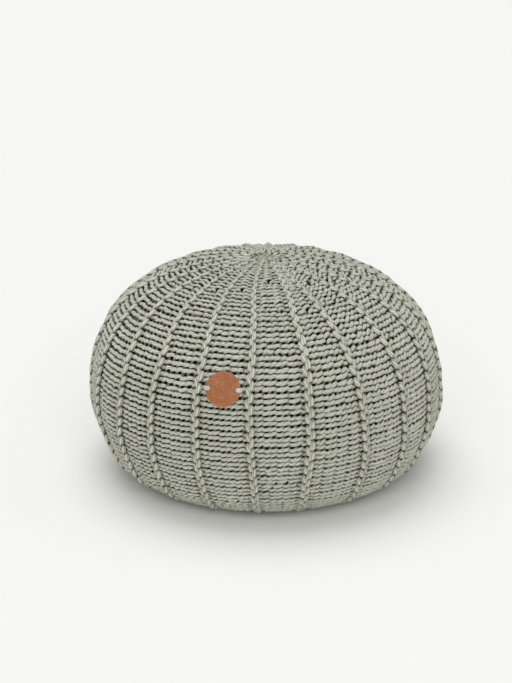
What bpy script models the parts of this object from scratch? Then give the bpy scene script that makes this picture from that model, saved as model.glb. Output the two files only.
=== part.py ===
"""Round hand-knitted floor pouf: a filled cover with raised knit ribs, and a sewn-on leather disc.

Metres, +Z up. The origin is on the floor, under the middle of the pouf. The front, with the
leather disc, faces -Y. Azimuths are in degrees about +Z, from the front towards +X.
"""
import math

import bmesh
import bpy
from mathutils import Matrix, Vector

# Overall size, to the crests of the ribs
POUF_RADIUS = 0.250
POUF_HEIGHT = 0.305
WIDEST_LEVEL = 0.110

# The turned outline: a full crown above the widest level, sides drawn in to a flat foot below it
CROWN_EXPONENT = 2.44
SIDE_DEPTH = 0.253
SIDE_EXPONENT = 1.58
FOOT_ROUNDING = 0.035
# The filling leans a little to -X: this much for each metre above the widest level
LEAN = 0.018

# Closed top: the cover is gathered round its middle, where it dips
GATHER_RADIUS = 0.022
GATHER_DIP = 0.005

# Ribs: slipped knit columns that run from the foot to the gathered top
RIB_COUNT = 22
RIB_HEIGHT = 0.003
RIB_CREST_WIDTH = 0.007
RIB_FLANK_WIDTH = 0.0025
RIB_FADE_RADIUS = 0.020
# Near the top the ribs crowd together and fill at most this share of the way between them
RIB_CROWDED_SHARE = 0.62

# The ribs that face the front are spaced by hand; the rest share what is left evenly.
# name, azimuth at the widest level, drift in degrees for each metre up, crest width factor
FRONT_RIBS = (
    ("far_left", -64.3, -20.0, 1.0),
    ("left", -51.3, -20.0, 1.0),
    ("inner_left", -36.6, -8.0, 1.0),
    ("disc_left", -21.8, -6.0, 1.0),
    ("disc_right", -4.6, -8.0, 1.0),
    ("seam", 13.2, 12.0, 1.7),
    ("inner_right", 30.8, -14.0, 1.0),
    ("right", 47.0, -10.0, 1.0),
    ("far_right", 63.3, -6.0, 1.0),
)

# Rings of the cover: heights of the lower side, and how many divide the crown
SIDE_LEVELS = (0.0, 0.004, 0.011, 0.021, 0.035, 0.052, 0.070, 0.090)
CROWN_RINGS = 17
GATHER_RINGS = 3
PANEL_COLUMNS = 2

# Leather disc, flat-cut, sewn on between two ribs
DISC_RADIUS = 0.023
DISC_THICKNESS = 0.0022
DISC_EDGE_ROUNDING = 0.0006
DISC_AZIMUTH = -13.3
DISC_LEVEL = 0.197
DISC_BULGE_RADIUS = 0.26
DISC_RINGS = 4
DISC_SIDES = 40
HOLE_RADIUS = 0.0029
HOLE_OFFSET = 0.0172
HOLE_SIDES = 16

# Each yarn stitch comes up through a hole, lies over the disc's rim and goes down outside it
STITCH_WIDTH = 0.0042
STITCH_THICKNESS = 0.0020
STITCH_RISE = 0.0006
STITCH_REACH = 0.0252
STITCH_ROUNDING = 0.0007

GAP = 0.0003

COVER_COLOUR = (0.420, 0.430, 0.355, 1.0)
LEATHER_COLOUR = (0.470, 0.155, 0.065, 1.0)
STITCH_COLOUR = (0.640, 0.650, 0.590, 1.0)


def clear_scene():
    for old in list(bpy.data.objects):
        bpy.data.objects.remove(old, do_unlink=True)


def new_collection(name):
    group = bpy.data.collections.new(name)
    bpy.context.scene.collection.children.link(group)
    return group


def material(name, colour, roughness):
    mat = bpy.data.materials.new(name)
    mat.use_nodes = True
    mat.diffuse_color = colour
    shader = mat.node_tree.nodes["Principled BSDF"]
    shader.inputs["Base Color"].default_value = colour
    shader.inputs["Roughness"].default_value = roughness
    shader.inputs["Metallic"].default_value = 0.0
    return mat


def add_object(name, mesh, group, mat):
    thing = bpy.data.objects.new(name, mesh)
    group.objects.link(thing)
    if mat:
        mesh.materials.append(mat)
    return thing


# Turned outline of the cover, at the crests of the ribs

def side_radius(level):
    """Radius below the widest level, drawn in and then rounded under to the foot."""
    depth = (WIDEST_LEVEL - level) / SIDE_DEPTH
    radius = POUF_RADIUS * (1.0 - depth ** SIDE_EXPONENT) ** (1.0 / SIDE_EXPONENT)
    if level < FOOT_ROUNDING:
        drop = 1.0 - level / FOOT_ROUNDING
        radius -= FOOT_ROUNDING * (1.0 - math.sqrt(1.0 - drop * drop))
    return radius


def crown_point(turn):
    """Radius and height on the crown, for a turn from 0 at the widest level to 1 at the top."""
    angle = turn * math.pi / 2.0
    power = 2.0 / CROWN_EXPONENT
    radius = POUF_RADIUS * math.cos(angle) ** power
    height = WIDEST_LEVEL + (POUF_HEIGHT - WIDEST_LEVEL) * math.sin(angle) ** power
    return radius, height


def crown_height(radius):
    """Height of the crown at a radius, with the dip at the gathered middle."""
    share = (1.0 - (radius / POUF_RADIUS) ** CROWN_EXPONENT) ** (1.0 / CROWN_EXPONENT)
    height = WIDEST_LEVEL + (POUF_HEIGHT - WIDEST_LEVEL) * share
    if radius < GATHER_RADIUS:
        height -= GATHER_DIP * 0.5 * (1.0 + math.cos(math.pi * radius / GATHER_RADIUS))
    return height


def outline():
    """Points (radius, height) of the outline from the foot's edge to just beside the top's middle."""
    points = [(side_radius(level), level) for level in SIDE_LEVELS]
    for ring in range(CROWN_RINGS):
        radius, height = crown_point(ring / CROWN_RINGS)
        if radius > GATHER_RADIUS:
            points.append((radius, height))
    for ring in range(GATHER_RINGS):
        radius = GATHER_RADIUS * (1.0 - ring / GATHER_RINGS)
        points.append((radius, crown_height(radius)))
    return points


def inward_normal(points, index):
    """Unit normal of the outline that points into the filling, as (radial, vertical)."""
    before = points[max(index - 1, 0)]
    after = points[min(index + 1, len(points) - 1)]
    along = Vector((after[0] - before[0], after[1] - before[1])).normalized()
    return Vector((-along.y, along.x))


# Ribs round the cover

def rib_table():
    """Every rib as (azimuth, drift, width factor), in order round the cover."""
    ribs = [(azimuth, drift, width) for _name, azimuth, drift, width in FRONT_RIBS]
    first = ribs[0][0]
    last = ribs[-1][0]
    hidden = RIB_COUNT - len(ribs)
    step = (360.0 - (last - first)) / (hidden + 1)
    for place in range(hidden):
        ribs.append((last + step * (place + 1), 0.0, 1.0))
    return ribs


def column_plan(ribs, radius, height):
    """Azimuth and relief (0 on a panel, 1 on a crest) of every column of one ring."""
    centres = [azimuth + drift * (height - WIDEST_LEVEL) for azimuth, drift, _width in ribs]
    plan = []
    for number, (_azimuth, _drift, width) in enumerate(ribs):
        here = math.radians(centres[number])
        following = centres[(number + 1) % RIB_COUNT] + (360.0 if number == RIB_COUNT - 1 else 0.0)
        span = math.radians(following) - here
        crowded = span * RIB_CROWDED_SHARE / 2.0
        crest = min(RIB_CREST_WIDTH * width / 2.0 / radius, crowded * 0.6)
        foot = min((RIB_CREST_WIDTH * width / 2.0 + RIB_FLANK_WIDTH) / radius, crowded)
        next_width = ribs[(number + 1) % RIB_COUNT][2]
        next_foot = min((RIB_CREST_WIDTH * next_width / 2.0 + RIB_FLANK_WIDTH) / radius, crowded)
        plan += [(here - crest, 1.0), (here + crest, 1.0), (here + foot, 0.0)]
        start = here + foot
        end = here + span - next_foot
        for column in range(PANEL_COLUMNS):
            share = (column + 1) / (PANEL_COLUMNS + 1)
            plan.append((start + (end - start) * share, 0.0))
        plan.append((end, 0.0))
    return plan


def turn_order(vertex):
    """Place of a cage vertex round its ring, counted from just before +X."""
    return (math.atan2(vertex.co.y, vertex.co.x) + 0.001) % math.tau


def build_cover(group, mat):
    """Turned, filled body: a sphere cage whose rings and columns are set on outline and ribs."""
    ribs = rib_table()
    points = outline()
    columns = RIB_COUNT * (4 + PANEL_COLUMNS)
    bm = bmesh.new()
    bmesh.ops.create_uvsphere(bm, u_segments=columns, v_segments=len(points) + 1, radius=1.0)
    rings = {}
    poles = []
    for vertex in bm.verts:
        if math.hypot(vertex.co.x, vertex.co.y) < 1e-4:
            poles.append(vertex)
        else:
            rings.setdefault(round(vertex.co.z, 4), []).append(vertex)
    for index, key in enumerate(sorted(rings)):
        radius, height = points[index]
        normal = inward_normal(points, index)
        plan = column_plan(ribs, radius, height)
        ordered = sorted(rings[key], key=turn_order)
        on_foot = index == 0
        fade = min(1.0, radius / RIB_FADE_RADIUS)
        for vertex, (azimuth, relief) in zip(ordered, plan):
            depth = RIB_HEIGHT * (1.0 - relief) * fade
            spread = radius + normal.x * depth
            level = 0.0 if on_foot else height + normal.y * depth
            vertex.co.x = spread * math.sin(azimuth) - LEAN * (level - WIDEST_LEVEL)
            vertex.co.y = -spread * math.cos(azimuth)
            vertex.co.z = level
    for pole in poles:
        top = pole.co.z > 0.0
        level = crown_height(0.0) if top else 0.0
        pole.co = Vector((-LEAN * (level - WIDEST_LEVEL), 0.0, level))
    mesh = bpy.data.meshes.new("knit_cover")
    bm.to_mesh(mesh)
    bm.free()
    mesh.shade_smooth()
    return add_object("knit_cover", mesh, group, mat)


# Leather disc and its stitches, made lying flat with +Z away from the cover

def disc_frame():
    """Placement of the disc: its middle on the panel, +X along the knit rows, +Z outwards."""
    share = (DISC_LEVEL - WIDEST_LEVEL) / (POUF_HEIGHT - WIDEST_LEVEL)
    radius = POUF_RADIUS * (1.0 - share ** CROWN_EXPONENT) ** (1.0 / CROWN_EXPONENT)
    rise = (share / (radius / POUF_RADIUS)) ** (CROWN_EXPONENT - 1.0)
    rise *= POUF_RADIUS / (POUF_HEIGHT - WIDEST_LEVEL)
    azimuth = math.radians(DISC_AZIMUTH)
    outward = Vector((math.sin(azimuth), -math.cos(azimuth), rise)).normalized()
    along = Vector((math.cos(azimuth), math.sin(azimuth), 0.0))
    up = outward.cross(along)
    place = Vector((radius * math.sin(azimuth), -radius * math.cos(azimuth), DISC_LEVEL))
    place.x -= LEAN * (DISC_LEVEL - WIDEST_LEVEL)
    place -= outward * (RIB_HEIGHT - GAP)
    rotation = Matrix((along, up, outward)).transposed().to_4x4()
    return Matrix.Translation(place) @ rotation


def settle(thing):
    """Bend a flat piece to the bulge of the cover it lies on."""
    for vertex in thing.data.vertices:
        across = vertex.co.x ** 2 + vertex.co.y ** 2
        vertex.co.z -= across / (2.0 * DISC_BULGE_RADIUS)


def turned(name, profile, sides, group, mat):
    """Solid turned about Z from a profile at +X that runs from top to bottom."""
    mesh = bpy.data.meshes.new(name)
    edges = [(i, i + 1) for i in range(len(profile) - 1)]
    mesh.from_pydata([(radius, 0.0, level) for radius, level in profile], edges, [])
    thing = add_object(name, mesh, group, mat)
    screw = thing.modifiers.new("turn", 'SCREW')
    screw.steps = sides
    screw.render_steps = sides
    screw.use_merge_vertices = True
    screw.merge_threshold = 0.0001
    return thing


def disc_profile():
    """Half section of the disc, from the middle of its face round the rim to its back."""
    ease = DISC_EDGE_ROUNDING
    flat = DISC_RADIUS - ease
    face = [(flat * ring / DISC_RINGS, DISC_THICKNESS) for ring in range(DISC_RINGS + 1)]
    rim = [(DISC_RADIUS, DISC_THICKNESS - ease), (DISC_RADIUS, ease)]
    back = [(radius, 0.0) for radius, _level in reversed(face)]
    return face + rim + back


def baked(thing, group, mat):
    """The same object with its modifiers applied, under its own name."""
    graph = bpy.context.evaluated_depsgraph_get()
    mesh = bpy.data.meshes.new_from_object(thing.evaluated_get(graph))
    name = thing.name
    bpy.data.objects.remove(thing, do_unlink=True)
    mesh.materials.clear()
    result = add_object(name, mesh, group, mat)
    result.name = name
    return result


def build_disc(group, cutters, mat):
    disc = turned("leather_disc", disc_profile(), DISC_SIDES, group, mat)
    for name, side in (("left", -1.0), ("right", 1.0)):
        bm = bmesh.new()
        bmesh.ops.create_cone(bm, cap_ends=True, segments=HOLE_SIDES, radius1=HOLE_RADIUS,
                              radius2=HOLE_RADIUS, depth=DISC_THICKNESS * 4.0)
        bmesh.ops.translate(bm, verts=bm.verts, vec=(side * HOLE_OFFSET, 0.0, 0.0))
        mesh = bpy.data.meshes.new("hole_" + name)
        bm.to_mesh(mesh)
        bm.free()
        cutter = add_object("hole_" + name, mesh, cutters, None)
        cutter.hide_render = True
        cutter.display_type = 'WIRE'
        cut = disc.modifiers.new("hole_" + name, 'BOOLEAN')
        cut.operation = 'DIFFERENCE'
        cut.object = cutter
    bpy.context.view_layer.update()
    disc = baked(disc, group, mat)
    settle(disc)
    disc.matrix_world = disc_frame()
    disc.data.shade_smooth()
    disc.data.set_sharp_from_angle(angle=math.radians(40.0))
    return disc


def stitch_outline():
    """Side view of one stitch as a closed outline: up in the hole, over the rim, down outside."""
    low = DISC_THICKNESS + STITCH_RISE
    high = low + STITCH_THICKNESS
    rim = DISC_RADIUS + GAP
    inner = HOLE_OFFSET - HOLE_RADIUS + GAP * 2.0
    outer = HOLE_OFFSET + HOLE_RADIUS - GAP * 2.0
    ease = STITCH_THICKNESS * 0.6
    return [(inner, DISC_THICKNESS * 0.4), (outer, DISC_THICKNESS * 0.4), (outer, low),
            (rim + GAP, low), (rim + GAP, GAP), (STITCH_REACH, GAP),
            (STITCH_REACH, high - ease), (STITCH_REACH - ease, high),
            (inner + ease, high), (inner, high - ease)]


def build_stitch(name, side, group, mat):
    curve = bpy.data.curves.new(name, 'CURVE')
    curve.dimensions = '2D'
    curve.fill_mode = 'BOTH'
    curve.extrude = STITCH_WIDTH / 2.0
    points = stitch_outline()
    spline = curve.splines.new('POLY')
    spline.points.add(len(points) - 1)
    for point, (across, level) in zip(spline.points, points):
        point.co = (across, level, 0.0, 1.0)
    spline.use_cyclic_u = True
    bar = bpy.data.objects.new(name, curve)
    group.objects.link(bar)
    bpy.context.view_layer.update()
    graph = bpy.context.evaluated_depsgraph_get()
    mesh = bpy.data.meshes.new_from_object(bar.evaluated_get(graph))
    bpy.data.objects.remove(bar, do_unlink=True)
    bm = bmesh.new()
    bm.from_mesh(mesh)
    bmesh.ops.remove_doubles(bm, verts=bm.verts, dist=0.00001)
    stand = Matrix.Rotation(math.pi / 2.0, 4, 'X')
    turn = Matrix.Rotation(0.0 if side > 0.0 else math.pi, 4, 'Z')
    bmesh.ops.transform(bm, matrix=turn @ stand, verts=bm.verts)
    bmesh.ops.recalc_face_normals(bm, faces=bm.faces)
    bm.to_mesh(mesh)
    bm.free()
    mesh.materials.clear()
    stitch = add_object(name, mesh, group, mat)
    stitch.name = name
    settle(stitch)
    stitch.matrix_world = disc_frame()
    ease = stitch.modifiers.new("soft_edges", 'BEVEL')
    ease.width = STITCH_ROUNDING
    ease.segments = 1
    return stitch


def main():
    clear_scene()
    parts = new_collection("knitted_pouf")
    cutters = new_collection("cutters")
    cover_mat = material("cotton_cord", COVER_COLOUR, 0.95)
    leather_mat = material("tan_leather", LEATHER_COLOUR, 0.55)
    stitch_mat = material("pale_yarn", STITCH_COLOUR, 0.9)
    build_cover(parts, cover_mat)
    build_disc(parts, cutters, leather_mat)
    build_stitch("stitch_left", -1.0, parts, stitch_mat)
    build_stitch("stitch_right", 1.0, parts, stitch_mat)


main()
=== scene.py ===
"""Looks of the round hand-knitted floor pouf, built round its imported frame.

Metres, +Z up, front with the leather disc towards -Y. Azimuths run about +Z from the front
towards +X. The cover is built row by row: every knit row is one closed tube of cord that loops
up and down through its stitches, and every rib is two columns of slipped loops over the rows.
"""
import math

import bpy
import numpy as np
from mathutils import Matrix, Vector


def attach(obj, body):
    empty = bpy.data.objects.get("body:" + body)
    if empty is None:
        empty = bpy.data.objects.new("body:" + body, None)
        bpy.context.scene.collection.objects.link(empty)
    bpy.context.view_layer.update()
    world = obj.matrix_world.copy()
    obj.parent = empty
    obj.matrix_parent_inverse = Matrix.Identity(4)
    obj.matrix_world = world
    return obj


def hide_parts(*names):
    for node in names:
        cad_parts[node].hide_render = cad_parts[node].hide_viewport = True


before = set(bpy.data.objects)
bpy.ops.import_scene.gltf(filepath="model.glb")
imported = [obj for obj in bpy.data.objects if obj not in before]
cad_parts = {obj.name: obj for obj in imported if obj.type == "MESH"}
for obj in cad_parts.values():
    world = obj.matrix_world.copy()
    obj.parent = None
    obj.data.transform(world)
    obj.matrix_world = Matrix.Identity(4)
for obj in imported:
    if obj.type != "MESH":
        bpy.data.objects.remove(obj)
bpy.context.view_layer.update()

rng = np.random.default_rng(22)

# The frame's outline, with the same values as its source; its straight ribs are followed more
# closely here, each along its own path
POUF_RADIUS = 0.250
POUF_HEIGHT = 0.305
WIDEST_LEVEL = 0.110
CROWN_EXPONENT = 2.44
SIDE_DEPTH = 0.253
SIDE_EXPONENT = 1.58
FOOT_ROUNDING = 0.035
LEAN = 0.018
GATHER_RADIUS = 0.022
GATHER_DIP = 0.005
# The knit is drawn in round a place a little off the middle of the top
GATHER_SHIFT = (0.003, 0.009)
GATHER_REACH = 0.110
RIB_COUNT = 22
RIB_HEIGHT = 0.003
SEAM_RIB = 5
SEAM_WIDTH = 1.9
# Azimuths of the ribs that face the front, in degrees, at these distances up the outline
RIB_PLACES = (0.10, 0.16, 0.22, 0.28, 0.34, 0.42)
FRONT_RIBS = (
    (-67.6, -70.0, -69.2, -70.2, -72.0, -72.0),
    (-54.1, -53.0, -52.5, -53.9, -56.6, -57.5),
    (-38.6, -38.2, -38.1, -37.7, -40.1, -41.0),
    (-21.8, -21.8, -22.0, -21.5, -22.6, -24.0),
    (-4.4, -4.9, -5.1, -4.2, -4.3, -6.6),
    (11.8, 13.0, 13.4, 14.2, 14.0, 16.4),
    (31.9, 31.6, 31.2, 30.2, 28.6, 26.8),
    (49.3, 48.2, 48.9, 48.2, 47.7, 46.0),
    (63.2, 63.8, 65.3, 65.8, 64.8, 63.0),
)

# Cord of the cover: half its breadth and half its thickness, as shares of the row pitch,
# at these distances up the outline; the cord lies flatter on the crown
CORD_PLACES = (0.0, 0.100, 0.200, 0.260, 0.340, 0.520)
BREADTH_SHARES = (0.320, 0.340, 0.356, 0.345, 0.335, 0.335)
DEPTH_SHARES = (0.270, 0.280, 0.280, 0.230, 0.190, 0.180)
CORD_SIDES = 6
# Plies seen round the cord, and how far along it each takes the place of the next
STRANDS = 6.0
ROW_PLY_STEP = 0.0056
LEG_PLY_STEP = 0.0160
# Depth below the crests at which a cord's painted shade is darkest
PAINTED_SHADE_REACH = 0.0066
# Each strip of a bake map holds about this many points of a row, with free edges
STRIP_POINTS = 200
MAP_MARGIN = 0.04

# Row pitch along the outline, by distance in metres up from the edge of the foot
PITCH_PLACES = (-0.17, 0.0, 0.200, 0.225, 0.260, 0.330, 0.380, 0.440, 0.520)
PITCH_VALUES = (0.0074, 0.0073, 0.0073, 0.0080, 0.0087, 0.0087, 0.0080, 0.0075, 0.0072)
# Tall and short rows take turns by this much, which opens and closes the gaps by turns
ROW_PAIRING = 0.00042
# Rows wander up and down in waves, this many round the cover, which drift from row to row
SWAY_WAVES = (2, 3, 5, 9, 14)
SWAY_DRIFT = 0.12
ROW_SWAY = 0.00045
# The first row lies by the gathered foot, and the last ones end at the gathered top
FIRST_ROW = -0.148
LAST_ROW_INSET = 0.004
TOP_ROW_RADIUS = 0.023

# Purl stitches between two ribs are at least this wide
STITCH_WIDTH = 0.0143
# A stitch is flat up to the first of these widths, and a full loop from the second
FLAT_STITCH = 0.004
FULL_STITCH = 0.012
# Loops: how far they reach over the next row, how they slant round the cover and lean to one
# side, how deep they dive, how much thinner they are there, and how far they bulge sideways
LOOP_OVERLAP = 0.06
LOOP_SLANT = 0.065
LOOP_SLANT_SHIFT = 0.055
LOOP_LOPSIDE = 0.45
LOOP_DEPTH = 0.0029
LOOP_WAIST = 0.17
LOOP_BULGE = 0.14
# Two loops that meet one stitch of the next row lie this share of it either side of its middle
PAIR_OFFSET = 0.21
# The filling bulges the middle of a panel outwards; its rows lie this far below the rib crests
PANEL_BULGE = 0.0014
PANEL_DEPTH = 0.0042
# A row dives under the ribs: where it starts, over what distance, and how deep it goes
TUCK_START = 0.0032
TUCK_REACH = 0.0040
EDGE_TUCK = 0.0018
UNDER_RIB_DEPTH = 0.0052
UNDER_RIB_SHARES = (0.33, 0.67)
# The rows lie closer under the ribs towards the foot, by distance up the outline
FOOT_PLACES = (0.02, 0.13)
FOOT_SHARES = (0.66, 1.0)
LEAST_SHALLOW = 0.5
# Points of a stitch, in degrees of its turn: fewer under the foot, below this distance
HIDDEN_BELOW = -0.01
LOOP_SAMPLES = (0.0, 26.0, 58.0, 122.0, 154.0, 180.0, 206.0, 238.0, 302.0, 334.0)
PLAIN_SAMPLES = (0.0, 40.0, 90.0, 140.0, 180.0, 220.0, 270.0, 320.0)
# Unevenness of the stitches, as shares of their own sizes and, for their depth, in metres
RISE_JITTER = 0.09
SHIFT_JITTER = 0.035
BULGE_JITTER = 0.12
SLANT_JITTER = 0.35
SWELL_JITTER = 0.035
SINK_JITTER = 0.0003

# Slipped loops of the ribs: each leg runs down and inwards to the middle of the rib
RIB_HALF_WIDTH = 0.0050
# Half a rib takes up at most this share of the way to the next one
MOST_RIB_SHARE = 0.36
# The ribs grow narrower over the crown, by distance up the outline
TAPER_PLACES = (0.22, 0.30, 0.38, 0.46)
TAPER_VALUES = (1.0, 0.86, 0.70, 0.62)
# Half a leg's breadth and half its thickness; it is broader at its top than at its end
LEG_BREADTH = 0.0041
LEG_DEPTH = 0.0019
LEG_TOP_BREADTH = 1.05
LEG_BREADTH_DROP = 0.15
LEG_TOP_OFFSET = 0.0034
LEG_END_OFFSET = 0.0013
LEFT_LEG_SINK = 0.0005
LEG_SHARES = (0.0, 0.05, 0.12, 0.22, 0.36, 0.50, 0.64, 0.78, 0.88, 0.95, 1.0)
LEG_SIDES = 8
# Legs stop short of the next ones, and dive into the knit and grow thinner at both ends
LEG_GAP = 0.0058
LEG_ROUNDING = 0.08
LEG_DIVE = 0.0046
LEG_END_THINNING = 0.24
LEG_END_SHARPNESS = 13
# The flanks of a rib fall away: their tilt, its share at a leg's top, and how much less it is
# at the leg's end
FLANK_TILT = math.radians(38.0)
TOP_TILT_SHARE = 1.15
TILT_SHARE_DROP = 0.8
FLANK_FALL = 0.8
RIB_PROUD = 0.0008
# The seam rib's legs stand further apart on one side, and are broader
SEAM_SPREAD = 1.55
SEAM_BREADTH = 1.45
# Least depth of painted shade on the legs, which darkens them lower down, by distance up the
# outline
LEG_PAINTED_SHADE_PLACES = (0.22, 0.34)
LEG_PAINTED_SHADES = (0.0008, 0.0)
LEG_CREST_DEPTH = 0.0012
# Unevenness of the legs: their ends, sideways and in depth in metres, and their swell as a share
LEG_END_JITTER = 0.0004
LEG_SIDE_JITTER = 0.0003
LEG_DEPTH_JITTER = 0.00025
LEG_SWELL_JITTER = 0.04
# Near the pole the legs shrink to fit between ribs closer than this, and within the merge
# radius every other rib has ended
FULL_SPACING = 0.0140
MERGED_SPACING = 0.0200
MERGE_RADIUS = 0.026
RIB_END_RADIUS = 0.0045
LEAST_RADIUS = 0.004

# Yarn drawn in round the middle of the top and of the foot: radii and depths of its turns
TOP_TURNS = (
    (0.0205, 0.0066),
    (0.0165, 0.0062),
    (0.0125, 0.0056),
    (0.0085, 0.0054),
    (0.0045, 0.0050),
    (0.0012, 0.0046),
)
FOOT_TURNS = (
    (0.0250, 0.0034),
    (0.0208, 0.0030),
    (0.0167, 0.0028),
    (0.0126, 0.0026),
    (0.0085, 0.0025),
    (0.0047, 0.0024),
    (0.0012, 0.0024),
)
# Half the breadth and thickness of these turns, and the depth below the crests that darkens them as
# painted shade
TURN_SAMPLES = 88
TURN_BREADTH = 0.0023
TURN_DEPTH = 0.0022
TURN_SHADE_DEPTH = 0.0012
# Each turn is puckered this many times round, a little shifted from the turn outside it
PUCKERS = 11.0
PUCKER_SHIFT = 700.0
PUCKER_SPREAD = 0.055
PUCKER_HEIGHT = 0.0007
TURN_WAVES = 5.0
TURN_WAVE_SHIFT = 90.0
TURN_WAVE_HEIGHT = 0.0004

# Steps of the outline, and rows of its table. Its first LOWER_ROWS rows are all below the widest
# level and those after UPPER_ROWS above it
FOOT_STEPS = 160
SIDE_STEPS = 400
CROWN_STEPS = 900
TABLE_ROWS = 1400
LOWER_ROWS = 400
UPPER_ROWS = 700
BLUR_ROWS = 9


# Outline of the cover

def side_radius(level):
    """Radius below the widest level, drawn in and then rounded under to the foot."""
    depth = (WIDEST_LEVEL - level) / SIDE_DEPTH
    radius = POUF_RADIUS * (1.0 - depth ** SIDE_EXPONENT) ** (1.0 / SIDE_EXPONENT)
    if level < FOOT_ROUNDING:
        drop = 1.0 - level / FOOT_ROUNDING
        radius -= FOOT_ROUNDING * (1.0 - math.sqrt(max(0.0, 1.0 - drop * drop)))
    return radius


def crown_height(radius):
    """Height of the crown at a radius, with the dip at the gathered middle."""
    share = (1.0 - (radius / POUF_RADIUS) ** CROWN_EXPONENT) ** (1.0 / CROWN_EXPONENT)
    height = WIDEST_LEVEL + (POUF_HEIGHT - WIDEST_LEVEL) * share
    if radius < GATHER_RADIUS:
        height -= GATHER_DIP * 0.5 * (1.0 + math.cos(math.pi * radius / GATHER_RADIUS))
    return height


def smoothed(values):
    """Mean of each value and its neighbours, with the ends repeated."""
    blur = np.ones(BLUR_ROWS) / BLUR_ROWS
    return np.convolve(np.pad(values, BLUR_ROWS // 2, mode="edge"), blur, "valid")


def outline_table():
    """Outline as arrays: distance up from the foot's edge, radius, height, outward direction."""
    foot = side_radius(0.0)
    points = [(foot * share, 0.0) for share in np.linspace(0.0, 1.0, FOOT_STEPS)]
    for turn in np.linspace(0.0, 1.0, SIDE_STEPS)[1:]:
        level = WIDEST_LEVEL * turn ** 2
        points.append((side_radius(level), level))
    power = 2.0 / CROWN_EXPONENT
    for turn in np.linspace(0.0, math.pi / 2.0, CROWN_STEPS)[1:-1]:
        radius = POUF_RADIUS * math.cos(turn) ** power
        points.append((radius, crown_height(radius)))
    points.append((0.0, crown_height(0.0)))
    radius, height = np.array(points).T
    arc = np.concatenate([[0.0], np.cumsum(np.hypot(np.diff(radius), np.diff(height)))])
    even = np.linspace(0.0, arc[-1], TABLE_ROWS)
    radius = np.interp(even, arc, radius)
    height = np.interp(even, arc, height)
    slope_r = smoothed(np.gradient(radius, even))
    slope_z = smoothed(np.gradient(height, even))
    length = np.hypot(slope_r, slope_z)
    edge = np.interp(foot, radius[:LOWER_ROWS], even[:LOWER_ROWS])
    return even - edge, radius, height, slope_z / length, -slope_r / length


ARC, ARC_RADIUS, ARC_HEIGHT, OUT_RADIAL, OUT_UP = outline_table()


def on_cover(arc, azimuth, depth):
    """Points at a depth below the outline, and the outward directions there."""
    out_r = np.interp(arc, ARC, OUT_RADIAL)
    out_z = np.interp(arc, ARC, OUT_UP)
    radius = np.interp(arc, ARC, ARC_RADIUS) - out_r * depth
    height = np.interp(arc, ARC, ARC_HEIGHT) - out_z * depth
    side, front = np.sin(azimuth), -np.cos(azimuth)
    drawn = np.clip(1.0 - (radius / GATHER_REACH) ** 2, 0.0, 1.0) ** 2 * (height > WIDEST_LEVEL)
    across = radius * side - LEAN * (height - WIDEST_LEVEL) + GATHER_SHIFT[0] * drawn
    places = np.stack([across, radius * front + GATHER_SHIFT[1] * drawn, height], -1)
    outward = np.stack([out_r * side, out_r * front, out_z], -1)
    return places, outward


def rib_centres(arc):
    """Azimuths of all ribs in radians at distances up the outline, one row for each rib."""
    ribs = [np.interp(arc, RIB_PLACES, path) for path in FRONT_RIBS]
    first, last = ribs[0], ribs[-1]
    hidden = RIB_COUNT - len(ribs)
    step = (360.0 - (last - first)) / (hidden + 1)
    ribs += [last + step * (place + 1) for place in range(hidden)]
    return np.radians(ribs)


def row_arcs():
    """Distances up the outline of every row, from the middle of the foot to the top."""
    arcs = [FIRST_ROW]
    while arcs[-1] < ARC[-1] - LAST_ROW_INSET:
        arcs.append(arcs[-1] + np.interp(arcs[-1], PITCH_PLACES, PITCH_VALUES))
    return np.array(arcs)


def is_tall(number, panel):
    """Rows are tall and short by turns, and the other way round in the next panel."""
    return (number + panel) % 2 == 0


# Meshes of many cord tubes

def tube_axes(line, outward, closed):
    """Unit directions at each point of a cord's line: out of the cover, and across the cord."""
    if closed:
        tangent = np.roll(line, -1, 0) - np.roll(line, 1, 0)
    else:
        tangent = np.gradient(line, axis=0)
    tangent /= np.linalg.norm(tangent, axis=1)[:, None]
    out = outward - (outward * tangent).sum(1)[:, None] * tangent
    out /= np.linalg.norm(out, axis=1)[:, None]
    return out, np.cross(tangent, out)


def corners(low, high, round_low, round_high):
    """Pairs at the four corners of every quad: a value along the cord, and one round it."""
    low = np.broadcast_to(low[:, None], round_low.shape)
    high = np.broadcast_to(high[:, None], round_low.shape)
    pairs = ((low, round_low), (low, round_high), (high, round_high), (high, round_low))
    return np.stack([np.stack(pair, -1) for pair in pairs], 2).reshape(-1, 2)


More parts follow.
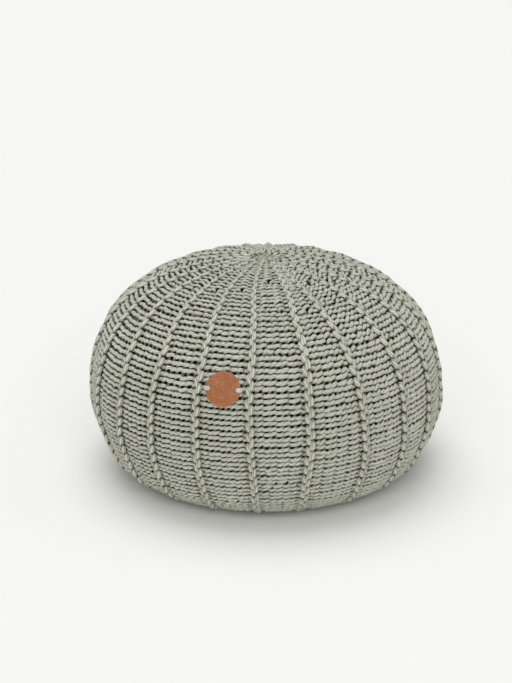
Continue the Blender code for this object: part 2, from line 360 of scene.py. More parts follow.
class CordMesh:
    """Joins cord tubes into one mesh, with a bake map, the lie of the strands and painted shade by
    depth.
    """

    def __init__(self, ply_step=LEG_PLY_STEP):
        self.ply_step = ply_step
        self.places = []
        self.quads = []
        self.maps = []
        self.lies = []
        self.painted_shades = []
        self.count = 0
        self.strips = 0

    def add(self, line, outward, breadth, depth, shade_depth, closed, strips=1, sides=CORD_SIDES):
        """One tube along line. Breadth lies along the cover and depth through it.

        How far the line lies below the crests darkens the deep parts of the cord as painted shade.
        """
        steps = len(line)
        out, across = tube_axes(line, outward, closed)
        turn = np.arange(sides) / sides
        cosine = np.cos(turn * math.tau)[None, :, None]
        sine = np.sin(turn * math.tau)[None, :, None]
        wide = np.broadcast_to(breadth, steps)[:, None, None]
        deep = np.broadcast_to(depth, steps)[:, None, None]
        ring = line[:, None] + out[:, None] * cosine * deep + across[:, None] * sine * wide
        self.places.append(ring.reshape(-1, 3))
        # The far side of a cord lies deeper than its near side, by about its thickness, and so gets
        # more painted shade
        thick = np.minimum(0.5 * (deep + wide), 1.25 * deep)[:, :, 0]
        low_side = np.broadcast_to(shade_depth, steps)[:, None] + thick * (1.0 - cosine[0, :, 0])
        self.painted_shades.append(np.clip(low_side / PAINTED_SHADE_REACH, 0.0, 1.0).ravel())

        spans = steps if closed else steps - 1
        here = np.arange(spans)
        after = (here + 1) % steps
        number = np.arange(steps * sides).reshape(steps, sides) + self.count
        low, high = number[here], number[after]
        quads = np.stack([low, np.roll(low, -1, 1), np.roll(high, -1, 1), high], -1)
        self.quads.append(quads.reshape(-1, 4))

        round_low = np.broadcast_to(turn, (spans, sides))
        round_high = round_low + 1.0 / sides
        travel = np.linalg.norm(line[after] - line[here], axis=1)
        along = np.concatenate([[0.0], np.cumsum(travel)])
        self.lies.append(corners(along[:-1], along[1:], round_low, round_high))

        strip = here * strips // spans
        first = -(-strip * spans // strips)
        length = -(-(strip + 1) * spans // strips) - first
        base = (self.strips + strip)[:, None] + MAP_MARGIN
        free = 1.0 - 2.0 * MAP_MARGIN
        start, end = (here - first) / length, (here + 1 - first) / length
        self.maps.append(corners(start, end, base + free * round_low, base + free * round_high))

        self.strips += strips
        if not closed:
            self.cap(number[0][::-1], along[0])
            self.cap(number[-1], along[-1])
        self.count += steps * sides

    def cap(self, rim, run):
        """Closes the end of a tube with a fan of quads."""
        fan = np.array([(rim[0], *rim[first:first + 3]) for first in range(1, len(rim) - 2, 2)])
        self.quads.append(fan)
        self.maps.append(np.tile([0.0, self.strips - 0.5], (fan.size, 1)))
        self.lies.append(np.tile([run, 0.25], (fan.size, 1)))

    def build(self, name, material, resting=False):
        """The mesh object. What rests on the floor is pressed flat against it."""
        mesh = bpy.data.meshes.new(name)
        places = np.concatenate(self.places)
        if resting:
            places[:, 2] = np.maximum(places[:, 2], 0.0)
        quads = np.concatenate(self.quads)
        mesh.vertices.add(len(places))
        mesh.vertices.foreach_set("co", places.astype(np.float32).ravel())
        mesh.loops.add(quads.size)
        mesh.loops.foreach_set("vertex_index", quads.astype(np.int32).ravel())
        mesh.polygons.add(len(quads))
        mesh.polygons.foreach_set("loop_start", np.arange(0, quads.size, 4, dtype=np.int32))
        mesh.update(calc_edges=True)
        layout = np.concatenate(self.maps) / (1.0, self.strips)
        bake_map = mesh.uv_layers.new(name="OFBake")
        bake_map.uv.foreach_set("vector", layout.astype(np.float32).ravel())
        lie = np.concatenate(self.lies)
        phase = lie[:, 0] / self.ply_step + STRANDS * lie[:, 1]
        lie = np.column_stack([lie[:, 0], lie[:, 1], phase])
        strands = mesh.attributes.new("strands", 'FLOAT_VECTOR', 'CORNER')
        strands.data.foreach_set("vector", lie.astype(np.float32).ravel())
        # Painted shade: none at the crests, darkest at the reach below them
        painted_shade = mesh.attributes.new("painted_shade", 'FLOAT', 'POINT')
        painted_shade.data.foreach_set("value", np.concatenate(self.painted_shades).astype(np.float32))
        mesh.shade_smooth()
        mesh.materials.append(material)
        thing = bpy.data.objects.new(name, mesh)
        bpy.context.scene.collection.objects.link(thing)
        return thing


# Knit rows

SWAY = [(waves, rng.uniform(0.0, math.tau), rng.uniform(-SWAY_DRIFT, SWAY_DRIFT))
        for waves in SWAY_WAVES]


def sway(number, azimuth):
    """Slow wander of a row up and down, in units of about one."""
    return sum(np.sin(waves * azimuth + start + number * step) for waves, start, step in SWAY) / 2.0


def panel_sizes(arc):
    """Radius, rib azimuths, and every panel's spacing, half rib, left edge, room and stitches."""
    radius = float(np.interp(arc, ARC, ARC_RADIUS))
    centres = rib_centres(arc)
    spacing = np.diff(np.append(centres, centres[0] + math.tau)) * radius
    taper = float(np.interp(arc, TAPER_PLACES, TAPER_VALUES))
    half = np.minimum(RIB_HALF_WIDTH * taper, MOST_RIB_SHARE * spacing)
    left = half * np.where(np.arange(RIB_COUNT) == SEAM_RIB, SEAM_WIDTH, 1.0)
    room = spacing - half - left
    count = np.maximum(1, np.floor(room / STITCH_WIDTH)).astype(int)
    return {"radius": radius, "centres": centres, "spacing": spacing, "half": half,
            "left": left, "room": room, "count": count}


def pair_up(loops, slots, pair):
    """Places for loops in one slot fewer: two of them share the slot called pair."""
    places = []
    for loop in range(loops):
        slot = loop if loop <= pair else loop - 1
        offset = {pair: -PAIR_OFFSET, pair + 1: PAIR_OFFSET}.get(loop, 0.0)
        places.append((slot + offset) / slots)
    return np.array(places)


def loop_shifts(count, below, above, turn):
    """How far each half loop moves, as a share of the panel, to meet rows with fewer stitches."""
    shifts = np.zeros(2 * count + 1)
    if above < count:
        places = pair_up(count, count - 1, (count - 2) * (turn % 2)) + 0.5 / (count - 1)
        shifts[1::2] = places - (np.arange(count) + 0.5) / count
    if below < count and count > 2:
        places = pair_up(count - 1, count - 1, (count - 3) * (turn % 2)) + 1.0 / (count - 1)
        shifts[2:-1:2] = places - np.arange(1, count) / count
    return shifts


def eased(turns):
    """Turns in half loops, slowed down at the crest and the foot of every loop."""
    whole = np.floor(turns / math.pi + 1e-9)
    return whole + 0.5 - 0.5 * np.cos(turns - whole * math.pi)


def tucked(edge):
    """How far a row has dived under the rib, from 0 to 1, by distance in from the rib's edge."""
    share = np.clip((TUCK_START - edge) / TUCK_REACH, 0.0, 1.0)
    return share * share * (3.0 - 2.0 * share)


def panel_line(number, rib, sizes, counts, pitch, samples, shallow):
    """A row from one rib's edge to past the next: azimuths, rises, depths and cord sizes."""
    spacing, half = sizes["spacing"][rib], sizes["half"][rib]
    left, room = sizes["left"][rib], sizes["room"][rib]
    count = counts[number][rib]
    below = counts[max(number - 1, 0)][rib]
    above = counts[min(number + 1, len(counts) - 1)][rib]
    wide = room / count
    full = np.clip((wide - FLAT_STITCH) / (FULL_STITCH - FLAT_STITCH), 0.0, 1.0)
    taller = ROW_PAIRING if is_tall(number, rib) else -ROW_PAIRING
    height = pitch + LOOP_OVERLAP * wide + 2.0 * taller

    turns = [samples + math.tau * stitch for stitch in range(count)]
    turns = np.concatenate(turns + [[math.tau * count]])
    loops = np.arange(2 * count + 1)
    jitter = rng.normal(0.0, 1.0, (5, 2 * count + 1))
    rise, shift, sink, swell, bend = [np.interp(turns / math.pi, loops, row) for row in jitter]
    moved = np.interp(eased(turns), loops, loop_shifts(count, below, above, number + 3 * rib))

    across = left + room * (turns / (math.tau * count) + moved)
    bulge = 1.0 + BULGE_JITTER * bend
    across = across + full * LOOP_BULGE * wide * np.sin(2.0 * turns) * bulge
    across = across + SHIFT_JITTER * wide * shift

    up = -0.5 * height * np.cos(turns) * full * (1.0 + RISE_JITTER * rise)
    slant = LOOP_SLANT + LOOP_SLANT_SHIFT * math.sin(sizes["centres"][rib])
    steep = (1.0 - LOOP_LOPSIDE * np.cos(turns)) * (1.0 + SLANT_JITTER * bend)
    up = up + slant * wide * np.sin(2.0 * turns) * steep

    crown = np.clip(across / spacing * (1.0 - across / spacing) * 4.0, 0.0, 1.0)
    dip = LOOP_DEPTH * min(1.0, wide / STITCH_WIDTH)
    deep = dip * (1.0 - np.cos(2.0 * turns)) + SINK_JITTER * sink - PANEL_BULGE * crown
    edge = np.minimum(across - left, spacing - half - across)
    deep = deep + EDGE_TUCK * shallow ** 3 * tucked(edge)
    waist = 0.5 - 0.5 * np.cos(2.0 * turns)

    # Two more points carry the row under the next rib
    next_half = half * (SEAM_WIDTH if (rib + 1) % RIB_COUNT == SEAM_RIB else 1.0)
    across = np.append(across, spacing - half + (half + next_half) * np.array(UNDER_RIB_SHARES))
    up = np.append(up, [-0.5 * height * full] * 2)
    deep = np.append(deep, [UNDER_RIB_DEPTH * shallow] * 2)
    swell = np.append(swell, [0.0, 0.0])
    waist = np.append(waist, [1.0, 1.0])
    azimuth = sizes["centres"][rib] + across / sizes["radius"]
    size = (1.0 + SWELL_JITTER * swell) * (1.0 - LOOP_WAIST * waist * full)
    return np.stack([azimuth, up, deep, size])


def row_line(number, arcs, counts):
    """Centre line of one row: arcs, azimuths, depths, depths below the crests, and cord sizes."""
    arc = arcs[number]
    sizes = panel_sizes(arc)
    pitch = float(np.interp(arc, PITCH_PLACES, PITCH_VALUES))
    samples = np.radians(PLAIN_SAMPLES if arc < HIDDEN_BELOW else LOOP_SAMPLES)
    shallow = max(LEAST_SHALLOW, float(sizes["half"].mean()) / RIB_HALF_WIDTH)
    shallow = min(shallow, float(np.interp(arc, FOOT_PLACES, FOOT_SHARES)))
    panels = [panel_line(number, rib, sizes, counts, pitch, samples, shallow)
              for rib in range(RIB_COUNT)]
    azimuth, up, deep, size = np.concatenate(panels, 1)
    up = up + ROW_SWAY * sway(number, azimuth)
    thickness = float(np.interp(arc, CORD_PLACES, DEPTH_SHARES)) * pitch
    return arc + up, azimuth, PANEL_DEPTH * shallow + thickness + deep, deep, size * pitch


def knit_rows(arcs, names, material):
    """The purl rows between the ribs, as pieces of about the same number of points."""
    counts = [panel_sizes(arc)["count"] for arc in arcs]
    lines = []
    for number in range(len(arcs)):
        if np.interp(arcs[number], ARC, ARC_RADIUS) < TOP_ROW_RADIUS:
            continue
        arc_line, azimuth, depth, shade_depth, size = row_line(number, arcs, counts)
        places, outward = on_cover(arc_line, azimuth, depth)
        wide = size * np.interp(arcs[number], CORD_PLACES, BREADTH_SHARES)
        deep = size * np.interp(arcs[number], CORD_PLACES, DEPTH_SHARES)
        lines.append((places, outward, wide, deep, shade_depth))
    total = sum(len(line[0]) for line in lines)
    pieces = [CordMesh(ROW_PLY_STEP) for _name in names]
    passed = 0
    for places, outward, wide, deep, shade_depth in lines:
        piece = pieces[min(passed * len(names) // total, len(names) - 1)]
        strips = max(1, len(places) // STRIP_POINTS)
        piece.add(places, outward, wide, deep, shade_depth, True, strips)
        passed += len(places)
    return [piece.build(name, material, True) for piece, name in zip(pieces, names)]


# Ribs

def leg_line(rib, side, low, high, fit, spread):
    """Centre line of one slipped loop's leg, from the side of the rib down to its middle."""
    share = np.array(LEG_SHARES)
    arc = high - (high - low) * share
    radius = np.interp(arc, ARC, ARC_RADIUS)
    top, end = LEG_TOP_OFFSET * fit * spread, LEG_END_OFFSET * fit * spread
    away = top + (end - top) * share
    rounding = np.clip(1.0 - share / LEG_ROUNDING, 0.0, 1.0) ** 2
    rounding += np.clip(1.0 - (1.0 - share) / LEG_ROUNDING, 0.0, 1.0) ** 2
    fall = away * math.tan(FLANK_TILT) * FLANK_FALL
    depth = LEG_DEPTH * fit + LEG_DIVE * rounding + fall - RIB_PROUD
    depth = depth + (LEFT_LEG_SINK if side < 0.0 else 0.0)
    azimuth = rib_centres(arc)[rib] + side * away / np.maximum(radius, LEAST_RADIUS)
    tilt = side * FLANK_TILT * (TOP_TILT_SHARE - TILT_SHARE_DROP * share)
    return arc, azimuth, depth, tilt


def add_leg(piece, rib, side, low, high, jitter):
    """One leg of a slipped loop, where its rib hasn't ended yet."""
    middle = 0.5 * (low + high)
    radius = float(np.interp(middle, ARC, ARC_RADIUS))
    merged = radius < MERGE_RADIUS
    if merged and rib % 2 or np.interp(high, ARC, ARC_RADIUS) < RIB_END_RADIUS:
        return
    spacing = math.tau * radius / RIB_COUNT * (2.0 if merged else 1.0)
    taper = float(np.interp(middle, TAPER_PLACES, TAPER_VALUES))
    fit = min(taper, spacing / (MERGED_SPACING if merged else FULL_SPACING))
    seam = rib == SEAM_RIB and side > 0.0
    low = low + 0.5 * LEG_GAP + LEG_END_JITTER * jitter[0]
    high = high - 0.5 * LEG_GAP + LEG_END_JITTER * jitter[1]
    spread = SEAM_SPREAD if seam else 1.0
    arc, azimuth, depth, tilt = leg_line(rib, side, low, high, fit, spread)
    azimuth = azimuth + LEG_SIDE_JITTER * jitter[2] / max(radius, LEAST_RADIUS)
    depth = depth + LEG_DEPTH_JITTER * jitter[3]
    places, outward = on_cover(arc, azimuth, depth)
    aside = np.stack([np.cos(azimuth), np.sin(azimuth), np.zeros_like(azimuth)], -1)
    outward = np.cos(tilt)[:, None] * outward + np.sin(tilt)[:, None] * aside
    share = np.array(LEG_SHARES)
    swell = 1.0 - LEG_END_THINNING * np.abs(2.0 * share - 1.0) ** LEG_END_SHARPNESS
    swell = swell * (1.0 + LEG_SWELL_JITTER * jitter[4])
    breadth = LEG_BREADTH * fit * (SEAM_BREADTH if seam else 1.0) * swell
    breadth = breadth * (LEG_TOP_BREADTH - LEG_BREADTH_DROP * share)
    # Painted shade on the legs: deeper as they dive, and at least the listed depth lower down
    shade = np.interp(arc, LEG_PAINTED_SHADE_PLACES, LEG_PAINTED_SHADES)
    shade_depth = np.maximum(depth - LEG_DEPTH - LEG_CREST_DEPTH, shade)
    piece.add(places, outward, breadth, LEG_DEPTH * fit * swell, shade_depth, False, 1, LEG_SIDES)


def knit_ribs(arcs, names, material):
    """Two columns of slipped loops for every rib; each loop is two rows tall."""
    pieces = []
    for side, name in zip((-1.0, 1.0), names):
        piece = CordMesh()
        for rib in range(RIB_COUNT):
            panel = rib if side > 0.0 else rib - 1
            for number in range(len(arcs) - 2):
                if is_tall(number, panel):
                    jitter = rng.normal(0.0, 1.0, 5)
                    add_leg(piece, rib, side, arcs[number], arcs[number + 2], jitter)
        pieces.append(piece.build(name, material, True))
    return pieces


def gathered(name, turns, rows, material):
    """The yarn that draws the knit in at a pole: a few puckered turns round the middle.

    Rows is the stretch of the outline's table that they lie on, from the pole outwards.
    """
    piece = CordMesh()
    azimuth = np.linspace(0.0, math.tau, TURN_SAMPLES, endpoint=False)
    for radius, depth in turns:
        pucker = np.sin(PUCKERS * azimuth + PUCKER_SHIFT * radius)
        arc = np.interp(radius * (1.0 + PUCKER_SPREAD * pucker), ARC_RADIUS[rows], ARC[rows])
        wave = TURN_WAVE_HEIGHT * np.sin(TURN_WAVES * azimuth + TURN_WAVE_SHIFT * radius)
        wave = wave - PUCKER_HEIGHT * pucker
        places, outward = on_cover(arc, azimuth, depth + wave)
        piece.add(places, outward, TURN_BREADTH, TURN_DEPTH, TURN_SHADE_DEPTH, True)
    return piece.build(name, material, True)


# Filling inside the open knit

LINING_DEPTH = 0.0145
LINING_COLUMNS = 88
LINING_RINGS = 62
LINING_FOOT_INSET = 0.012
LINING_TOP_INSET = 0.010


def lining(material):
    """Closed lining just under the knit, which the gaps between the stitches open on; its
    near-black colour is painted shade in those gaps.
    """
    arcs = np.linspace(ARC[0] + LINING_FOOT_INSET, ARC[-1] - LINING_TOP_INSET, LINING_RINGS)
    azimuths = np.linspace(0.0, math.tau, LINING_COLUMNS, endpoint=False)
    arc_grid, azimuth_grid = np.meshgrid(arcs, azimuths, indexing="ij")
    places, _outward = on_cover(arc_grid, azimuth_grid, LINING_DEPTH)
    places = places.reshape(-1, 3)
    number = np.arange(LINING_RINGS * LINING_COLUMNS).reshape(LINING_RINGS, LINING_COLUMNS)
    low, high = number[:-1], number[1:]
    quads = np.stack([low, np.roll(low, -1, 1), np.roll(high, -1, 1), high], -1).reshape(-1, 4)
    poles = [places[:LINING_COLUMNS].mean(0), places[-LINING_COLUMNS:].mean(0)]
    faces = quads.tolist()
    bottom, top = len(places), len(places) + 1
    first, last = number[0].tolist(), number[-1].tolist()
    for column in range(LINING_COLUMNS):
        after = (column + 1) % LINING_COLUMNS
        faces.append((first[after], first[column], bottom))
        faces.append((last[column], last[after], top))
    mesh = bpy.data.meshes.new("cover_lining")
    mesh.from_pydata(np.vstack([places, poles]).tolist(), [], faces)
    mesh.shade_smooth()
    mesh.materials.append(material)
    thing = bpy.data.objects.new("cover_lining", mesh)
    bpy.context.scene.collection.objects.link(thing)
    return thing


# Materials

# Stops of the ramps: position and colour
STREAK_STOPS = ((0.30, (0.86, 0.86, 0.84)), (0.70, (1.06, 1.06, 1.05)))
# Painted shade of the cords, from none to darkest by depth below the crests
PAINTED_SHADE_STOPS = ((0.08, (1.0, 1.0, 1.0)), (0.38, (0.54, 0.54, 0.49)), (0.80, (0.045, 0.045, 0.03)))
# Near-black lining: painted shade in the deepest gaps of the knit
PAINTED_SHADE_LINING_STOPS = ((0.3, (0.020, 0.021, 0.014)), (0.7, (0.035, 0.037, 0.025)))
LEATHER_STOPS = ((0.30, (0.285, 0.094, 0.030)), (0.70, (0.375, 0.140, 0.052)))
MOTTLE_STOPS = ((0.30, (0.68, 0.70, 0.72)), (0.70, (1.34, 1.36, 1.42)))
CUT_EDGE_COLOUR = (0.52, 0.29, 0.16)
# Tints of the cotton and of the pale yarn: dark and light patches, and painted shade in the grooves
# between plies
COTTON_TINTS = ((0.672, 0.687, 0.581), (0.799, 0.815, 0.698), (0.300, 0.307, 0.245))
YARN_TINTS = ((0.65, 0.67, 0.60), (0.77, 0.79, 0.72), (0.52, 0.54, 0.47))
COTTON_GROOVE = 0.0009
YARN_GROOVE = 0.0003
FLOOR_COLOUR = (0.908, 0.911, 0.884, 1.0)


def new_material(name):
    material = bpy.data.materials.new(name)
    material.use_nodes = True
    tree = material.node_tree
    return material, tree, tree.nodes["Principled BSDF"]


def node(tree, kind, **settings):
    made = tree.nodes.new(kind)
    for key, value in settings.items():
        setattr(made, key, value)
    return made


def link(tree, source, target):
    tree.links.new(source, target)


def math_node(tree, operation, first, second=None):
    made = node(tree, "ShaderNodeMath", operation=operation)
    for socket, value in zip(made.inputs, (first, second)):
        if value is None:
            continue
        if isinstance(value, (int, float)):
            socket.default_value = value
        else:
            link(tree, value, socket)
    return made.outputs[0]


def noise(tree, vector, scale, detail=2.0, roughness=0.5):
    made = node(tree, "ShaderNodeTexNoise")
    made.inputs["Scale"].default_value = scale
    made.inputs["Detail"].default_value = detail
    made.inputs["Roughness"].default_value = roughness
    link(tree, vector, made.inputs["Vector"])
    return made.outputs["Fac"]


def ramp(tree, fac, stops):
    made = node(tree, "ShaderNodeValToRGB")
    link(tree, fac, made.inputs["Fac"])
    elements = made.color_ramp.elements
    while len(elements) < len(stops):
        elements.new(0.5)
    for element, (position, colour) in zip(elements, stops):
        element.position = position
        element.color = (*colour, 1.0)
    return made.outputs["Color"]


def mixed(tree, kind, fac, first, second):
    made = node(tree, "ShaderNodeMix", data_type='RGBA', blend_type=kind)
    for socket, value in ((made.inputs[0], fac), (made.inputs[6], first), (made.inputs[7], second)):
        if isinstance(value, (int, float)):
            socket.default_value = value
        elif isinstance(value, tuple):
            socket.default_value = (*value, 1.0)
        else:
            link(tree, value, socket)
    return made.outputs[2]


def bump(tree, height, distance, strength, before=None):
    made = node(tree, "ShaderNodeBump")
    made.inputs["Distance"].default_value = distance
    made.inputs["Strength"].default_value = strength
    link(tree, height, made.inputs["Height"])
    if before is not None:
        link(tree, before, made.inputs["Normal"])
    return made.outputs["Normal"]


def cord_material(name, tints, groove_depth):
    """Soft plied cotton: strands that wind round the cord, with fine fibres along them, and painted
    shade in the grooves and deep parts.
    """
    material, tree, shader = new_material(name)
    dark, light, painted_groove_shade = tints
    lie = node(tree, "ShaderNodeAttribute", attribute_name="strands")
    parts = node(tree, "ShaderNodeSeparateXYZ")
    link(tree, lie.outputs["Vector"], parts.inputs[0])
    place = node(tree, "ShaderNodeTexCoord").outputs["Object"]
    wave = math_node(tree, 'SINE', math_node(tree, 'MULTIPLY', parts.outputs[2], math.pi))
    strand = math_node(tree, 'POWER', math_node(tree, 'ABSOLUTE', wave), 0.85)
    fibre_place = node(tree, "ShaderNodeCombineXYZ")
    link(tree, math_node(tree, 'MULTIPLY', parts.outputs[2], 5.0), fibre_place.inputs[0])
    link(tree, math_node(tree, 'MULTIPLY', parts.outputs[0], 160.0), fibre_place.inputs[1])
    fibre = noise(tree, fibre_place.outputs[0], 1.0, 3.0, 0.6)
    patches = noise(tree, place, 38.0, 2.0)
    fuzz = noise(tree, place, 900.0, 2.0)
    tint = ramp(tree, patches, ((0.30, dark), (0.72, light)))
    tint = mixed(tree, 'MULTIPLY', 1.0, tint, ramp(tree, fibre, STREAK_STOPS))
    # Painted shade in the grooves between the plies
    tint = mixed(tree, 'MIX', math_node(tree, 'SUBTRACT', 1.0, strand), tint, painted_groove_shade)
    # Painted shade: the cord is darkened by its depth below the crests
    painted_shade = node(tree, "ShaderNodeAttribute", attribute_name="painted_shade")
    shade = ramp(tree, painted_shade.outputs["Fac"], PAINTED_SHADE_STOPS)
    tint = mixed(tree, 'MULTIPLY', 1.0, tint, shade)
    link(tree, tint, shader.inputs["Base Color"])
    rough = math_node(tree, 'MULTIPLY_ADD', fuzz, 0.16)
    rough.node.inputs[2].default_value = 0.80
    link(tree, rough, shader.inputs["Roughness"])
    normal = bump(tree, fuzz, 0.00025, 0.5)
    normal = bump(tree, fibre, 0.00035, 0.6, normal)
    normal = bump(tree, strand, groove_depth, 0.9, normal)
    link(tree, normal, shader.inputs["Normal"])
    shader.inputs["Specular IOR Level"].default_value = 0.25
    shader.inputs["Sheen Weight"].default_value = 0.25
    shader.inputs["Sheen Roughness"].default_value = 0.5
    return material


def painted_shade_lining_material():
    """Matte cloth, seen only in the deepest gaps of the knit; its near-black colour is painted
    shade there.
    """
    material, tree, shader = new_material("painted_shade_lining")
    place = node(tree, "ShaderNodeTexCoord").outputs["Object"]
    grain = noise(tree, place, 700.0, 2.0)
    link(tree, ramp(tree, grain, PAINTED_SHADE_LINING_STOPS), shader.inputs["Base Color"])
    link(tree, bump(tree, grain, 0.0004, 0.5), shader.inputs["Normal"])
    shader.inputs["Roughness"].default_value = 0.95
    shader.inputs["Specular IOR Level"].default_value = 0.1
    return material


def leather_material():
    """Vegetable-tanned leather: fine pebbled grain, mottled tan, a paler cut edge."""
    material, tree, shader = new_material("tan_leather")
    place = node(tree, "ShaderNodeTexCoord").outputs["Object"]
    cells = node(tree, "ShaderNodeTexVoronoi", feature='DISTANCE_TO_EDGE')
    cells.inputs["Scale"].default_value = 900.0
    link(tree, place, cells.inputs["Vector"])
    pebble = math_node(tree, 'MULTIPLY', cells.outputs["Distance"], 3.0)
    clouds = noise(tree, place, 75.0, 4.0, 0.6)
    specks = noise(tree, place, 420.0, 3.0, 0.65)
    tint = ramp(tree, clouds, LEATHER_STOPS)
    tint = mixed(tree, 'MULTIPLY', 1.0, tint, ramp(tree, specks, MOTTLE_STOPS))
    reach = node(tree, "ShaderNodeVectorMath", operation='DISTANCE')
    link(tree, place, reach.inputs[0])
    reach.inputs[1].default_value = disc_frame().translation
    edge = node(tree, "ShaderNodeMapRange")
    edge.inputs["From Min"].default_value = DISC_RADIUS - CUT_EDGE_WIDTH
    edge.inputs["From Max"].default_value = DISC_RADIUS + CUT_EDGE_BEYOND
    link(tree, reach.outputs["Value"], edge.inputs["Value"])
    paler = math_node(tree, 'MULTIPLY', edge.outputs[0], 0.50)
    tint = mixed(tree, 'MIX', paler, tint, CUT_EDGE_COLOUR)
    link(tree, tint, shader.inputs["Base Color"])
    rough = math_node(tree, 'MULTIPLY_ADD', specks, 0.22)
    rough.node.inputs[2].default_value = 0.44
    link(tree, rough, shader.inputs["Roughness"])
    normal = bump(tree, clouds, 0.0006, 0.35)
    normal = bump(tree, pebble, 0.00012, 0.45, normal)
    link(tree, normal, shader.inputs["Normal"])
    shader.inputs["Specular IOR Level"].default_value = 0.35
    return material


# Leather disc and its stitches

DISC_RADIUS = 0.023
DISC_THICKNESS = 0.0022
DISC_AZIMUTH = -13.3
DISC_LEVEL = 0.197
DISC_BULGE_RADIUS = 0.26
# The paler cut edge starts this far inside the rim, and is palest just beyond it
CUT_EDGE_WIDTH = 0.0014
CUT_EDGE_BEYOND = 0.0002
HOLE_OFFSET = 0.0172
GAP = 0.0003

# A stitch's path, up through the hole and down past the rim: distance from the middle of the
# disc, and level above its back
STITCH_PATH = (
    (HOLE_OFFSET + 0.0003, -0.0010),
    (HOLE_OFFSET + 0.0003, DISC_THICKNESS * 0.3),
    (HOLE_OFFSET + 0.0008, DISC_THICKNESS + 0.0006),
    (HOLE_OFFSET + 0.0024, DISC_THICKNESS + 0.0012),
    (HOLE_OFFSET + 0.0040, DISC_THICKNESS + 0.0012),
    (DISC_RADIUS + 0.0006, DISC_THICKNESS + 0.0002),
    (DISC_RADIUS + 0.0013, DISC_THICKNESS * 0.3),
    (DISC_RADIUS + 0.0014, -0.0016),
)
STITCH_SAMPLES = 26
STITCH_SMOOTHINGS = 3
# Its strands: how far each lies from the middle one, and how much it leans away along the path
STITCH_STRANDS = ((-0.0014, -0.03), (0.0, 0.0), (0.0014, 0.02))
STRAND_PINCH = 0.25
STRAND_BREADTH = 0.00100
STRAND_DEPTH = 0.00092
STRAND_SIDES = 8
STRAND_TILT = 0.15


def disc_frame():
    """Placement of the disc: its middle on the panel, +X along the knit rows, +Z outwards."""
    share = (DISC_LEVEL - WIDEST_LEVEL) / (POUF_HEIGHT - WIDEST_LEVEL)
    radius = POUF_RADIUS * (1.0 - share ** CROWN_EXPONENT) ** (1.0 / CROWN_EXPONENT)
    rise = (share / (radius / POUF_RADIUS)) ** (CROWN_EXPONENT - 1.0)
    rise *= POUF_RADIUS / (POUF_HEIGHT - WIDEST_LEVEL)
    azimuth = math.radians(DISC_AZIMUTH)
    outward = Vector((math.sin(azimuth), -math.cos(azimuth), rise)).normalized()
    along = Vector((math.cos(azimuth), math.sin(azimuth), 0.0))
    up = outward.cross(along)
    place = Vector((radius * math.sin(azimuth), -radius * math.cos(azimuth), DISC_LEVEL))
    place.x -= LEAN * (DISC_LEVEL - WIDEST_LEVEL)
    place -= outward * (RIB_HEIGHT - GAP)
    rotation = Matrix((along, up, outward)).transposed().to_4x4()
    return Matrix.Translation(place) @ rotation


def stitch_pair(name, side, material):
    """Three strands of pale yarn, up through the hole, over the disc's rim and into the knit."""
    piece = CordMesh()
    share = np.linspace(0.0, 1.0, len(STITCH_PATH))
    fine = np.linspace(0.0, 1.0, STITCH_SAMPLES)
    smooth = [np.interp(fine, share, column) for column in zip(*STITCH_PATH)]
    kernel = np.array([0.25, 0.5, 0.25])
    for _round in range(STITCH_SMOOTHINGS):
        smooth = [np.r_[line[0], np.convolve(line, kernel, "valid"), line[-1]] for line in smooth]
    across, level = smooth
    level = level - (across ** 2) / (2.0 * DISC_BULGE_RADIUS)
    for offset, lean in STITCH_STRANDS:
        drift = offset * (1.0 - STRAND_PINCH * np.cos(fine * math.tau))
        drift = drift + lean * (across - HOLE_OFFSET)
        line = np.stack([side * across, drift, level], -1)
        normal = np.tile([STRAND_TILT * side, 0.0, 1.0], (len(line), 1))
        piece.add(line, normal, STRAND_BREADTH, STRAND_DEPTH, 0.0, False, 1, STRAND_SIDES)
    thing = piece.build(name, material)
    thing.matrix_world = disc_frame()
    return thing


# Stage

FLOOR_REACH = 14.0
WORLD_STRENGTH = 0.41
# Lights: name, strength, softness in degrees, and the way each one shines
LAMPS = (
    ("key", 1.30, 46.0, (0.07, -0.20, -1.0)),
    ("front", 1.30, 56.0, (-0.03, 1.0, -0.62)),
)
# Camera fitted to the photo: focal length for a sensor 36 mm high, place, and turns in degrees
LENS = 85.3
SENSOR_HEIGHT = 36.0
CAMERA_PLACE = (0.0, -2.1504, 0.9357)
CAMERA_TURNS = (70.6496, 0.6916, 0.1249)
FAR_CLIP = 60.0


def stage_floor():
    mesh = bpy.data.meshes.new("studio_floor")
    signs = ((-1, -1), (1, -1), (1, 1), (-1, 1))
    places = [(x * FLOOR_REACH, y * FLOOR_REACH, 0.0) for x, y in signs]
    mesh.from_pydata(places, [], [(0, 1, 2, 3)])
    material, _tree, shader = new_material("pale_floor")
    shader.inputs["Base Color"].default_value = FLOOR_COLOUR
    shader.inputs["Roughness"].default_value = 0.85
    shader.inputs["Specular IOR Level"].default_value = 0.2
    mesh.materials.append(material)
    thing = bpy.data.objects.new("studio_floor", mesh)
    bpy.context.scene.collection.objects.link(thing)


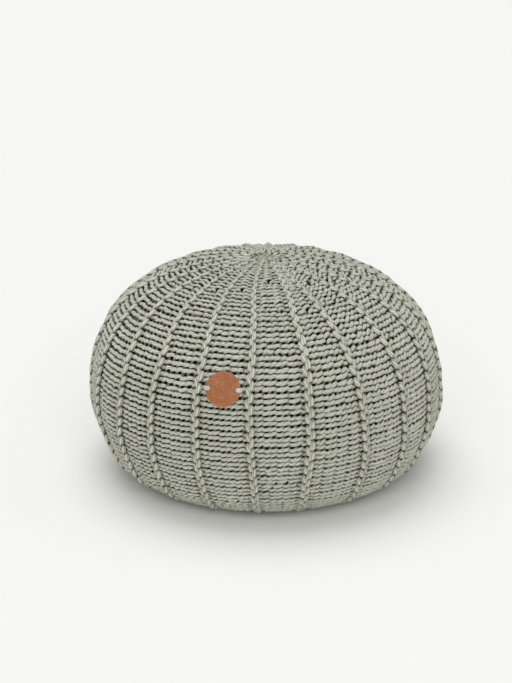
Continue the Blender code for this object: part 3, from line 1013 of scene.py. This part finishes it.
def lights():
    world = bpy.data.worlds.new("studio")
    bpy.context.scene.world = world
    world.use_nodes = True
    sky = world.node_tree.nodes["Background"]
    sky.inputs["Color"].default_value = (1.0, 1.0, 1.0, 1.0)
    sky.inputs["Strength"].default_value = WORLD_STRENGTH
    for name, energy, softness, aim in LAMPS:
        lamp = bpy.data.lights.new(name, 'SUN')
        lamp.energy = energy
        lamp.angle = math.radians(softness)
        thing = bpy.data.objects.new(name, lamp)
        thing.rotation_euler = Vector(aim).to_track_quat('-Z', 'Y').to_euler()
        bpy.context.scene.collection.objects.link(thing)


def camera():
    view = bpy.data.cameras.new("camera")
    view.sensor_fit = 'VERTICAL'
    view.sensor_height = SENSOR_HEIGHT
    view.lens = LENS
    view.clip_end = FAR_CLIP
    thing = bpy.data.objects.new("camera", view)
    thing.location = CAMERA_PLACE
    thing.rotation_euler = [math.radians(turn) for turn in CAMERA_TURNS]
    bpy.context.scene.collection.objects.link(thing)
    bpy.context.scene.camera = thing


def dress(thing, replaced):
    """Hands a piece to the frame: its body and what it replaces."""
    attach(thing, "root")
    if replaced:
        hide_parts(*replaced)


camera()
lights()
stage_floor()

cotton = cord_material("cotton_cord", COTTON_TINTS, COTTON_GROOVE)
pale = cord_material("pale_yarn", YARN_TINTS, YARN_GROOVE)
leather = leather_material()

ROW_PIECES = ("rows_foot", "rows_low", "rows_middle", "rows_high", "rows_crown", "rows_top")
LEG_PIECES = ("rib_legs_left", "rib_legs_right")
rows = row_arcs()
cover = knit_rows(rows, ROW_PIECES, cotton)
cover += knit_ribs(rows, LEG_PIECES, cotton)
cover.append(gathered("gathered_top", TOP_TURNS, slice(None, UPPER_ROWS, -1), cotton))
cover.append(gathered("gathered_foot", FOOT_TURNS, slice(LOWER_ROWS), cotton))
cover.append(lining(painted_shade_lining_material()))
for piece in cover:
    dress(piece, ["knit_cover"])

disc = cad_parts["leather_disc"]
disc.material_slots[0].material = leather
for side, end in ((-1.0, "left"), (1.0, "right")):
    dress(stitch_pair("tag_stitch_" + end, side, pale), ["stitch_" + end])

bpy.context.scene.view_settings.view_transform = 'Standard'
